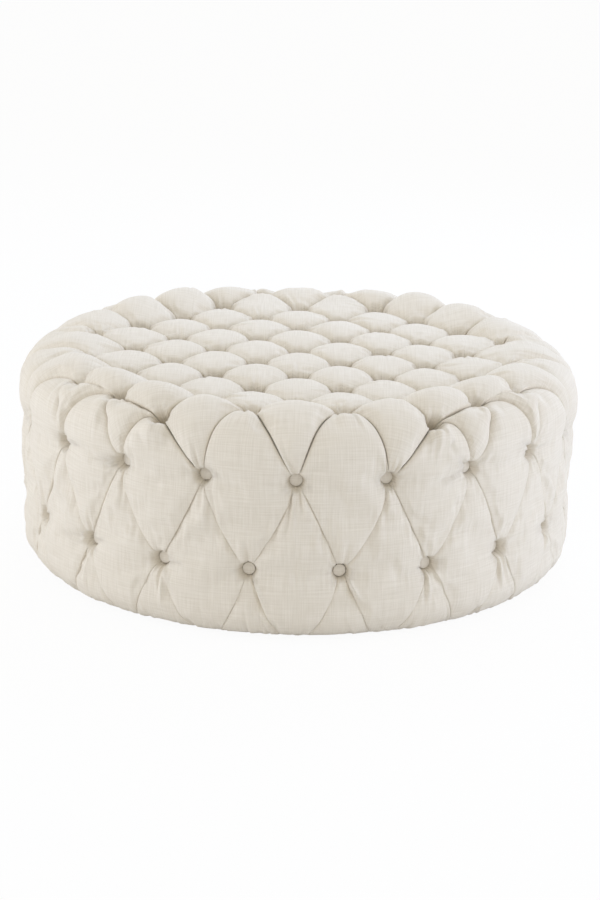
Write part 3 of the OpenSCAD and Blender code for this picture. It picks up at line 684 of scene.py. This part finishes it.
def settled(name, places, count):
    """How far the cloth of every cell settles between its pleats, by a simulation on fewer points.

    Most of the even swelling of a cell is left out of it, because the cell's own fullness has that.
    """
    step = GRID // SIM_CELL
    coarse = places.reshape(count, GRID + 1, GRID + 1, 3)[:, ::step, ::step]
    n = SIM_CELL + 1
    flat = coarse.reshape(-1, 3)
    faces = [tuple(v + i * n * n for v in face) for i in range(count) for face in cell_faces(n)]
    _, back = np.unique(np.round(flat, 6), axis=0, return_inverse=True)
    first, faces, _ = joined(flat, faces)
    edge = np.zeros((n, n), dtype=bool)
    edge[[0, -1]] = edge[:, [0, -1]] = True
    held = np.unique(back.reshape(-1)[np.tile(edge.reshape(-1), count)])
    moved = simulated(name, flat[first], faces, held) - flat[first]
    moved = moved[back.reshape(-1)].reshape(count, n, n, 3)
    rise = T[::step] * (1 - T[::step])
    dome = rise[:, None] * rise[None, :]
    even = np.einsum("ij,cijk->ck", dome, moved) / np.sum(dome ** 2)
    moved = moved - SIM_EVEN * even[:, None, None, :] * dome[None, :, :, None]
    length = np.maximum(np.linalg.norm(moved, axis=-1, keepdims=True), 1e-9)
    moved = moved / length * SIM_REACH * np.tanh(length / SIM_REACH)
    weights = spline(T[::step], T)
    return np.einsum("ai,cijk,bj->cabk", weights, moved, weights).reshape(-1, 3)


def joined(places, faces):
    """The first of each set of points that coincide, the faces over these, and each corner's own point."""
    _, first, back = np.unique(np.round(places, 6), axis=0, return_index=True, return_inverse=True)
    back = back.reshape(-1)
    kept, corners = [], []
    for face in faces:
        own = [v for i, v in enumerate(face) if back[v] != back[face[i - 1]]]
        if len(own) > 2:
            kept.append([int(back[v]) for v in own])
            corners += own
    return first, kept, corners


def new_piece(name, places, faces, weave=None):
    """A smooth mesh piece, with its weave coordinates as its UV map."""
    mesh = bpy.data.meshes.new(name)
    mesh.from_pydata(np.asarray(places).tolist(), [], faces)
    mesh.shade_smooth()
    if weave is not None:
        mesh.uv_layers.new(name="weave").data.foreach_set("uv", np.asarray(weave, dtype=float).reshape(-1))
    piece = bpy.data.objects.new(name, mesh)
    bpy.context.scene.collection.objects.link(piece)
    return piece


def finished(piece, *modifiers):
    """Applies a piece's modifiers, given as (kind, values)."""
    bpy.ops.object.select_all(action="DESELECT")
    piece.select_set(True)
    bpy.context.view_layer.objects.active = piece
    for kind, values in modifiers:
        modifier = piece.modifiers.new(kind.lower(), kind)
        for key, value in values.items():
            setattr(modifier, key, value)
        bpy.ops.object.modifier_apply(modifier=modifier.name)
    piece.select_set(False)
    return piece


def cloth_piece(name, cells):
    """A buttoned cover: the cloth's outer face, thickened inwards."""
    points, faces, weave = cloth_grid(cells)
    lift, free, settle = cloth_lift(points)
    places = placed(points[:, 0], points[:, 1], lift)
    places += settled(name + "_trial", places, len(cells)) * (free * settle)[:, None]
    first, faces, corners = joined(places, faces)
    piece = new_piece(name, places[first], faces, weave[corners])
    # Painted shade: a mask of how deep the cloth is drawn into the tufts, which darkens its colour there
    piece.data.attributes.new("painted_tuft_shade", "FLOAT", "POINT").data.foreach_set("value", (1 - free[first]) ** 2)
    return finished(piece, ("SOLIDIFY", {"thickness": CLOTH_T, "offset": -1, "use_rim": True}))


def wadding_piece(name, cells):
    """The wadding behind a cover: full in each cell, thin at each button, closed against the foam."""
    points, faces, _ = cloth_grid(cells, PAD_STEP)
    s = np.hypot(points[:, 0], points[:, 1])
    faces = [f for f in faces if s[list(f)].min() < HEM_START - 1e-6]
    points[:, :2] *= np.minimum(1, HEM_START / np.maximum(s, 1e-9))[:, None]
    x, y = points[:, 0], points[:, 1]
    outer = placed(x, y, np.maximum(cloth_lift(points)[0] - WADDING_GAP, WADDING_THIN - WADDING_DEPTH))
    inner = placed(x, y, -WADDING_DEPTH * np.ones(len(x)))
    first, faces, _ = joined(outer, faces)
    count = len(first)
    ways = {}
    for face in faces:
        for i, v in enumerate(face):
            ways[(face[i - 1], v)] = ways.get((face[i - 1], v), 0) + 1
    rims = [(a, b) for a, b in ways if (b, a) not in ways]
    walls = [(b, a, a + count, b + count) for a, b in rims]
    back = [[v + count for v in reversed(f)] for f in faces]
    return new_piece(name, np.concatenate([outer[first], inner[first]]), faces + walls + back)


# Buttons, foam and underside
def edited(select):
    """Opens the active piece for editing, with only the faces selected that select(face) picks."""
    mesh = bpy.context.object.data
    for vertex in mesh.vertices:
        vertex.select = False
    for edge in mesh.edges:
        edge.select = False
    for polygon in mesh.polygons:
        polygon.select = bool(select(polygon))
    bpy.ops.object.mode_set(mode="EDIT")
    bpy.ops.mesh.select_mode(type="FACE")


def closed_edit():
    bpy.ops.object.mode_set(mode="OBJECT")


def facing_up(polygon):
    return polygon.normal.z > 0.99


def facing_down(polygon):
    return polygon.normal.z < -0.99


def cylinder(name, radius, low, high, sides, ends="NGON"):
    """A new cylinder, standing between two heights, as the active piece."""
    bpy.ops.object.select_all(action="DESELECT")
    bpy.ops.mesh.primitive_cylinder_add(vertices=sides, radius=radius, depth=high - low, end_fill_type=ends,
                                        location=(0, 0, (low + high) / 2))
    piece = bpy.context.object
    piece.name = piece.data.name = name
    bpy.ops.object.transform_apply(location=True, rotation=True, scale=True)
    return piece


def inset_face(thickness, depth):
    bpy.ops.mesh.inset(thickness=thickness, depth=depth, use_boundary=True)


def button_shape():
    """One covered button, standing on its tuft's lowest point: a domed disc on a pointed shank."""
    button = cylinder("button", BUTTON_R, BUTTON_BACK, BUTTON_BACK + BUTTON_EDGE, BUTTON_SIDES)
    edited(facing_up)
    bpy.ops.mesh.bevel(offset=BUTTON_ROLL, segments=3, affect="EDGES")
    closed_edit()
    edited(lambda face: facing_up(face) and face.center.z > BUTTON_BACK + BUTTON_EDGE - CLEAR)
    for thickness, depth in BUTTON_DOME:
        inset_face(thickness, depth)
    closed_edit()
    edited(lambda face: facing_down(face) and len(face.vertices) == BUTTON_SIDES)
    inset_face(BUTTON_R - SHANK_R, 0)
    bpy.ops.mesh.extrude_region_move(TRANSFORM_OT_translate={"value": (0, 0, SHANK_START - BUTTON_BACK)})
    bpy.ops.mesh.extrude_region_move(TRANSFORM_OT_translate={"value": (0, 0, CLEAR - SHANK_START)})
    bpy.ops.transform.resize(value=(0.05, 0.05, 1))
    closed_edit()
    bpy.ops.object.shade_smooth_by_angle(angle=math.radians(50))
    return button


def buttons_piece(name, button, tufts):
    """Copies of the button at its tufts, as one piece."""
    shape = np.array([v.co for v in button.data.vertices])
    ring = [list(p.vertices) for p in button.data.polygons]
    places, faces, weave = [], [], []
    for tuft in tufts:
        x, y = tuft_point(tuft)
        s = math.hypot(x, y)
        foot = placed(x, y, crown(s) - BUTTON_DEPTH)
        _, right, up, out = tuft_frame(tuft)
        faces += [[v + len(places) * len(shape) for v in f] for f in ring]
        places.append(foot + shape @ np.array([right, up, out]))
        weave += [shape[v][:2] + (x, y) for f in ring for v in f]
    return new_piece(name, np.concatenate(places), faces, weave)


def tufts_of(kind):
    return [tuft for tuft in all_tufts() if tuft[0] == kind]


def seat_foam_piece():
    """The seat's foam block, with its rounded shoulder, and its plug down to the deck."""
    low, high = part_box("seat_foam")
    wall_top, wall_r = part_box("wall_panel")[1].z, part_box("wall_panel")[1].x
    piece = cylinder("seat_foam_block", high.x, wall_top + CLEAR, high.z, FOAM_SIDES)
    edited(facing_up)
    bpy.ops.mesh.region_to_loop()
    shoulder = min(FOAM_SHOULDER, high.z - wall_top - FOAM_SIDE)
    bpy.ops.mesh.bevel(offset=shoulder, segments=10, affect="EDGES")
    closed_edit()
    edited(facing_down)
    inset_face(high.x - wall_r + WALL_T + TIE_GAP, 0)
    bpy.ops.mesh.extrude_region_move(TRANSFORM_OT_translate={"value": (0, 0, low.z - wall_top - CLEAR)})
    closed_edit()
    bpy.ops.object.shade_smooth_by_angle(angle=math.radians(40))
    return piece


def side_foam_piece():
    """The foam band round the wall."""
    low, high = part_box("side_foam")
    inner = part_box("wall_panel")[1].x + PIN_HEAD_T + CLEAR
    piece = cylinder("side_foam_band", high.x, low.z, high.z, FOAM_SIDES, ends="NOTHING")
    finished(piece, ("SOLIDIFY", {"thickness": high.x - inner, "offset": -1, "use_rim": True}),
             ("BEVEL", {"width": 0.003, "segments": 2, "limit_method": "ANGLE"}))
    return piece


def dust_cover_piece():
    """The dust cloth, stapled up under the base ring, slack between its staples and in its middle."""
    low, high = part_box("dust_cover")
    rings = np.array([*DUST_RINGS, high.x])[:, None]
    turn = (np.arange(DUST_TURNS) * 2 * math.pi / DUST_TURNS)[None, :]
    pulled = np.clip((rings - DUST_PULL_R) / (high.x - DUST_PULL_R), 0, 1)
    between = (1 - np.cos(turn * DUST_STAPLES)) / 2
    radius = rings - DUST_PULL * between * pulled ** 2
    slack = DUST_SLACK * np.clip(1 - (rings / DUST_SLACK_R) ** 2, 0, 1) ** 1.5 + DUST_SAG * between * pulled
    z = low.z - slack + DUST_RIPPLE * np.sin(5 * turn + rings * 30)
    places = np.stack([radius * np.cos(turn), radius * np.sin(turn), z], axis=-1).reshape(-1, 3)
    faces = []
    for i in range(len(rings) - 1):
        inner, outer = i * DUST_TURNS, (i + 1) * DUST_TURNS
        for j in range(DUST_TURNS):
            k = (j + 1) % DUST_TURNS
            faces.append((inner + j, inner + k, outer + k, outer + j))
    first, faces, corners = joined(places, faces)
    piece = new_piece("dust_cloth_sheet", places[first], faces, places[corners][:, :2])
    return finished(piece, ("SOLIDIFY", {"thickness": high.z - low.z, "offset": -1, "use_rim": True}))


# Finishes
def finish_of(name, roughness, sheen=0.0, metallic=0.0):
    material = bpy.data.materials.new(name)
    material.use_nodes = True
    shader = material.node_tree.nodes["Principled BSDF"]
    shader.inputs["Roughness"].default_value = roughness
    shader.inputs["Sheen Weight"].default_value = sheen
    shader.inputs["Metallic"].default_value = metallic
    return material


def add_node(material, kind, inputs=(), **settings):
    """A new node, with its settings and with its inputs given as (input, value or output socket)."""
    node = material.node_tree.nodes.new(kind)
    for key, value in settings.items():
        setattr(node, key, value)
    for key, value in inputs:
        if isinstance(value, bpy.types.NodeSocket):
            material.node_tree.links.new(value, node.inputs[key])
        else:
            node.inputs[key].default_value = value
    return node


def on_object(material, scale):
    place = add_node(material, "ShaderNodeTexCoord").outputs["Object"]
    return add_node(material, "ShaderNodeMapping", (("Vector", place), ("Scale", scale))).outputs[0]


def on_weave(material, scale, turn=0.0):
    place = add_node(material, "ShaderNodeUVMap", uv_map="weave").outputs[0]
    return add_node(material, "ShaderNodeMapping",
                    (("Vector", place), ("Scale", scale), ("Rotation", (0, 0, turn)))).outputs[0]


def noise(material, vector, scale=1.0, detail=2.0):
    return add_node(material, "ShaderNodeTexNoise",
                    (("Vector", vector), ("Scale", scale), ("Detail", detail))).outputs["Fac"]


def wave(material, vector, direction):
    return add_node(material, "ShaderNodeTexWave", (("Vector", vector), ("Scale", 1.0)),
                    bands_direction=direction).outputs["Fac"]


def sum_of(material, kind, a, b):
    return add_node(material, "ShaderNodeMath", ((0, a), (1, b)), operation=kind).outputs[0]


def coloured(material, factor, dark, light, low=0.3, high=0.7):
    ramp = add_node(material, "ShaderNodeValToRGB", ((0, factor),))
    ramp.color_ramp.elements[0].position, ramp.color_ramp.elements[1].position = low, high
    ramp.color_ramp.elements[0].color, ramp.color_ramp.elements[1].color = (*dark, 1), (*light, 1)
    shader = material.node_tree.nodes["Principled BSDF"]
    material.node_tree.links.new(ramp.outputs[0], shader.inputs["Base Color"])
    return ramp.color_ramp


def bumped(material, height, distance, strength=1.0):
    bump = add_node(material, "ShaderNodeBump",
                    (("Height", height), ("Distance", distance), ("Strength", strength)))
    shader = material.node_tree.nodes["Principled BSDF"]
    material.node_tree.links.new(bump.outputs[0], shader.inputs["Normal"])


def linen(name, dark, light):
    """Plain-woven slubby cloth: threads with thick and thin stretches, and painted shade that darkens it
    down in the tufts.
    """
    material = finish_of(name, 0.92, sheen=0.15)
    upright = noise(material, on_weave(material, UPRIGHT_SLUBS))
    level = noise(material, on_weave(material, LEVEL_SLUBS))
    slubs = sum_of(material, "ADD", upright, level)
    slubs = sum_of(material, "MULTIPLY", slubs, 0.5)
    threads = on_weave(material, (THREAD_WAVES, THREAD_WAVES, 1))
    weave = sum_of(material, "MULTIPLY", wave(material, threads, "X"), wave(material, threads, "Y"))
    height = sum_of(material, "MULTIPLY_ADD", weave, THREAD_SHARE)
    material.node_tree.links.new(slubs, height.node.inputs[2])
    # Painted shade in the tufts: the colour is pulled towards a dark tone where the cloth is drawn in
    painted_tuft_shade = add_node(material, "ShaderNodeAttribute", attribute_name="painted_tuft_shade").outputs["Fac"]
    shade = sum_of(material, "MULTIPLY_ADD", painted_tuft_shade, -PAINTED_TUFT_SHADE_STRENGTH)
    material.node_tree.links.new(slubs, shade.node.inputs[2])
    ramp = coloured(material, shade, dark, light, 0.34, 0.66)
    ramp.elements.new(0.0).color = (*PAINTED_TUFT_SHADE_COLOUR, 1)
    bumped(material, height, 0.0007, 0.55)
    return material


def wood(name, dark, light, scale, roughness=0.6):
    material = finish_of(name, roughness)
    grain = noise(material, on_object(material, scale), detail=5.0)
    coloured(material, grain, dark, light)
    bumped(material, grain, 0.0004, 0.4)
    return material


def plywood():
    """Birch plies: their edges show as thin layers, and their faces as long grain."""
    material = finish_of("plywood", 0.62)
    grain = noise(material, on_object(material, (9, 70, 9)), detail=5.0)
    plies = wave(material, on_object(material, (0, 0, PLY_WAVES)), "Z")
    both = sum_of(material, "MULTIPLY_ADD", plies, 0.35)
    material.node_tree.links.new(grain, both.node.inputs[2])
    coloured(material, both, (0.36, 0.24, 0.12), (0.66, 0.49, 0.29), 0.35, 1.0)
    bumped(material, grain, 0.0003, 0.4)
    return material


def speckled(name, dark, light, scale, roughness, depth, sheen=0.0, metallic=0.0):
    """A fine all-over grain: foam cells, wadding fibres, moulded nylon or zinc plate."""
    material = finish_of(name, roughness, sheen, metallic)
    grain = noise(material, on_object(material, (scale, scale, scale)), detail=4.0)
    coloured(material, grain, dark, light)
    bumped(material, grain, depth, 0.6)
    return material


def dust_cloth():
    """Black spun cloth, with its small bonded dots."""
    material = finish_of("dust_cloth", 0.85, sheen=0.2)
    dots = on_weave(material, (DOT_WAVES, DOT_WAVES, 1), math.pi / 4)
    points = sum_of(material, "MULTIPLY", wave(material, dots, "X"), wave(material, dots, "Y"))
    coloured(material, points, (0.010, 0.010, 0.011), (0.022, 0.022, 0.024))
    bumped(material, points, 0.0002, 0.7)
    return material


def twine():
    """Twisted strands, as slanting bands along each straight twine."""
    material = finish_of("twine", 0.7, sheen=0.1)
    strands = wave(material, on_object(material, (40, 40, 90)), "DIAGONAL")
    coloured(material, strands, (0.55, 0.49, 0.36), (0.78, 0.73, 0.61))
    bumped(material, strands, 0.0003, 0.7)
    return material


def make_finishes():
    return {
        "cover_cloth": linen("cover_cloth", CLOTH_DARK, CLOTH_LIGHT),
        "button_cloth": linen("button_cloth", BUTTON_DARK, BUTTON_LIGHT),
        "wadding": speckled("wadding", (0.80, 0.80, 0.78), (0.90, 0.90, 0.89), 260, 0.95, 0.0012,
                            sheen=0.3),
        "foam": speckled("foam", (0.74, 0.64, 0.36), (0.86, 0.77, 0.50), 700, 0.9, 0.0006),
        "plywood": plywood(),
        "timber": wood("timber", (0.50, 0.34, 0.17), (0.72, 0.54, 0.33), (12, 60, 60)),
        "hardboard": wood("hardboard", (0.15, 0.080, 0.040), (0.26, 0.15, 0.080), (160, 160, 160), 0.45),
        "dust_cloth": dust_cloth(),
        "glide_nylon": speckled("glide_nylon", (0.020, 0.020, 0.022), (0.032, 0.032, 0.035), 500, 0.42,
                                0.0001),
        "washer_nylon": speckled("washer_nylon", (0.62, 0.61, 0.58), (0.70, 0.69, 0.66), 400, 0.4, 0.0001),
        "twine": twine(),
        "zinc_steel": speckled("zinc_steel", (0.48, 0.49, 0.50), (0.62, 0.63, 0.65), 300, 0.32, 0.00005,
                               metallic=1.0),
    }


def make_camera():
    """The photograph's viewpoint, fitted to the outline and the tufts."""
    lift, away, aim_z, roll = 0.3021, 4.4476, 0.194, 0.0212
    f_px, width, height = 2212.6, 600, 900
    target_px = (296.70, 451.98)
    data = bpy.data.cameras.new("camera")
    data.lens = f_px / height * 36
    data.sensor_width = 36
    data.shift_x = (width / 2 - target_px[0]) / height
    data.shift_y = (target_px[1] - height / 2) / height
    camera = bpy.data.objects.new("camera", data)
    place = Vector((0, -away * math.cos(lift), aim_z + away * math.sin(lift)))
    look = Matrix.Rotation(math.pi / 2 - lift, 4, "X") @ Matrix.Rotation(roll, 4, "Z")
    camera.matrix_world = Matrix.Translation(place) @ look
    bpy.context.scene.collection.objects.link(camera)
    bpy.context.scene.camera = camera


def lamp(name, place, aim_z, energy, colour):
    light = bpy.data.lights.new(name, "AREA")
    light.size = LAMP_SIZE
    light.energy = energy
    light.color = colour
    holder = bpy.data.objects.new(name, light)
    holder.location = place
    holder.rotation_euler = (Vector((0, 0, aim_z)) - Vector(place)).to_track_quat("-Z", "Y").to_euler()
    bpy.context.scene.collection.objects.link(holder)


def ray_is(tree, kinds):
    """1 on rays that one of these kinds of sight sends out: the eye's, a mirror's or a glass's."""
    path = tree.nodes.new("ShaderNodeLightPath")
    total = path.outputs[kinds[0]]
    for kind in kinds[1:]:
        larger = tree.nodes.new("ShaderNodeMath")
        larger.operation = "MAXIMUM"
        tree.links.new(total, larger.inputs[0])
        tree.links.new(path.outputs[kind], larger.inputs[1])
        total = larger.outputs[0]
    return total


SEEN = ("Is Camera Ray", "Is Glossy Ray", "Is Transmission Ray")


def white_ground():
    """The floor's finish: seen as white, with a soft part of the shadow that lies on it."""
    material = bpy.data.materials.new("floor")
    material.use_nodes = True
    tree = material.node_tree
    shader, output = tree.nodes["Principled BSDF"], tree.nodes["Material Output"]
    shader.inputs["Base Color"].default_value = (0.90, 0.90, 0.90, 1)
    shader.inputs["Roughness"].default_value = 1.0
    glow = tree.nodes.new("ShaderNodeEmission")
    blend = tree.nodes.new("ShaderNodeMixShader")
    share = tree.nodes.new("ShaderNodeMath")
    share.operation = "MULTIPLY"
    share.inputs[1].default_value = FLOOR_GLOW
    tree.links.new(ray_is(tree, SEEN), share.inputs[0])
    tree.links.new(share.outputs[0], blend.inputs[0])
    tree.links.new(shader.outputs[0], blend.inputs[1])
    tree.links.new(glow.outputs[0], blend.inputs[2])
    tree.links.new(blend.outputs[0], output.inputs["Surface"])
    return material


def make_world():
    """White where it is seen, and a soft even light elsewhere."""
    world = bpy.data.worlds.new("studio")
    world.use_nodes = True
    tree = world.node_tree
    soft, output = tree.nodes["Background"], tree.nodes["World Output"]
    soft.inputs["Color"].default_value = (*WORLD_TINT, 1)
    soft.inputs["Strength"].default_value = WORLD_LIGHT
    white = tree.nodes.new("ShaderNodeBackground")
    white.inputs["Color"].default_value = (1, 1, 1, 1)
    blend = tree.nodes.new("ShaderNodeMixShader")
    tree.links.new(ray_is(tree, SEEN), blend.inputs[0])
    tree.links.new(soft.outputs[0], blend.inputs[1])
    tree.links.new(white.outputs[0], blend.inputs[2])
    tree.links.new(blend.outputs[0], output.inputs["Surface"])
    bpy.context.scene.world = world


def make_studio():
    """A pale floor on a white ground, soft lamps at both sides and above, little light from the front."""
    corners = [(x * FLOOR_REACH, y * FLOOR_REACH, 0) for x, y in ((-1, -1), (1, -1), (1, 1), (-1, 1))]
    floor = new_piece("floor", corners, [(0, 1, 2, 3)])
    floor.data.materials.append(white_ground())
    make_world()
    lamp("left_lamp", (-3.4, -0.9, 1.5), 0.2, LEFT_LIGHT, LEFT_TINT)
    lamp("right_lamp", (3.4, -0.9, 1.5), 0.2, RIGHT_LIGHT, RIGHT_TINT)
    lamp("top_lamp", (1.0, 2.5, 2.5), 0.3, TOP_LIGHT, TOP_TINT)


def dress(piece, slot, *nodes):
    """Gives a new piece its finish and its body, and hides the solids that it stands for."""
    piece.data.materials.clear()
    piece.data.materials.append(finishes[slot])
    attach(piece, "root")
    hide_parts(*nodes)


make_camera()
make_studio()
bpy.context.scene.view_settings.view_transform = "Standard"
finishes = make_finishes()
for subpart in frame["record"]["subparts"]:
    materials = frame["nodes"][subpart["node"]].data.materials
    materials.clear()
    materials.append(finishes[subpart["material_slot"]])

seat_cloth = cloth_piece("seat_cloth", seat_cells())
side_cloth = cloth_piece("side_cloth", side_cells())
dress(seat_cloth, "cover_cloth", "seat_cover")
dress(side_cloth, "cover_cloth", "side_cover")
seat_pad = wadding_piece("seat_wadding_pad", seat_cells())
side_pad = wadding_piece("side_wadding_pad", side_cells())
dress(seat_pad, "wadding", "seat_wadding")
dress(side_pad, "wadding", "side_wadding")
seat_block = seat_foam_piece()
side_band = side_foam_piece()
dress(seat_block, "foam", "seat_foam")
dress(side_band, "foam", "side_foam")

button = button_shape()
for name, kind in (("seat_buttons", "seat"), ("rim_buttons", "rim"), ("upper_side_buttons", "upper"),
                   ("lower_side_buttons", "lower")):
    dress(buttons_piece("covered_" + name, button, tufts_of(kind)), "button_cloth", name)
bpy.data.objects.remove(button)

dust_sheet = dust_cover_piece()
dress(dust_sheet, "dust_cloth", "dust_cover")
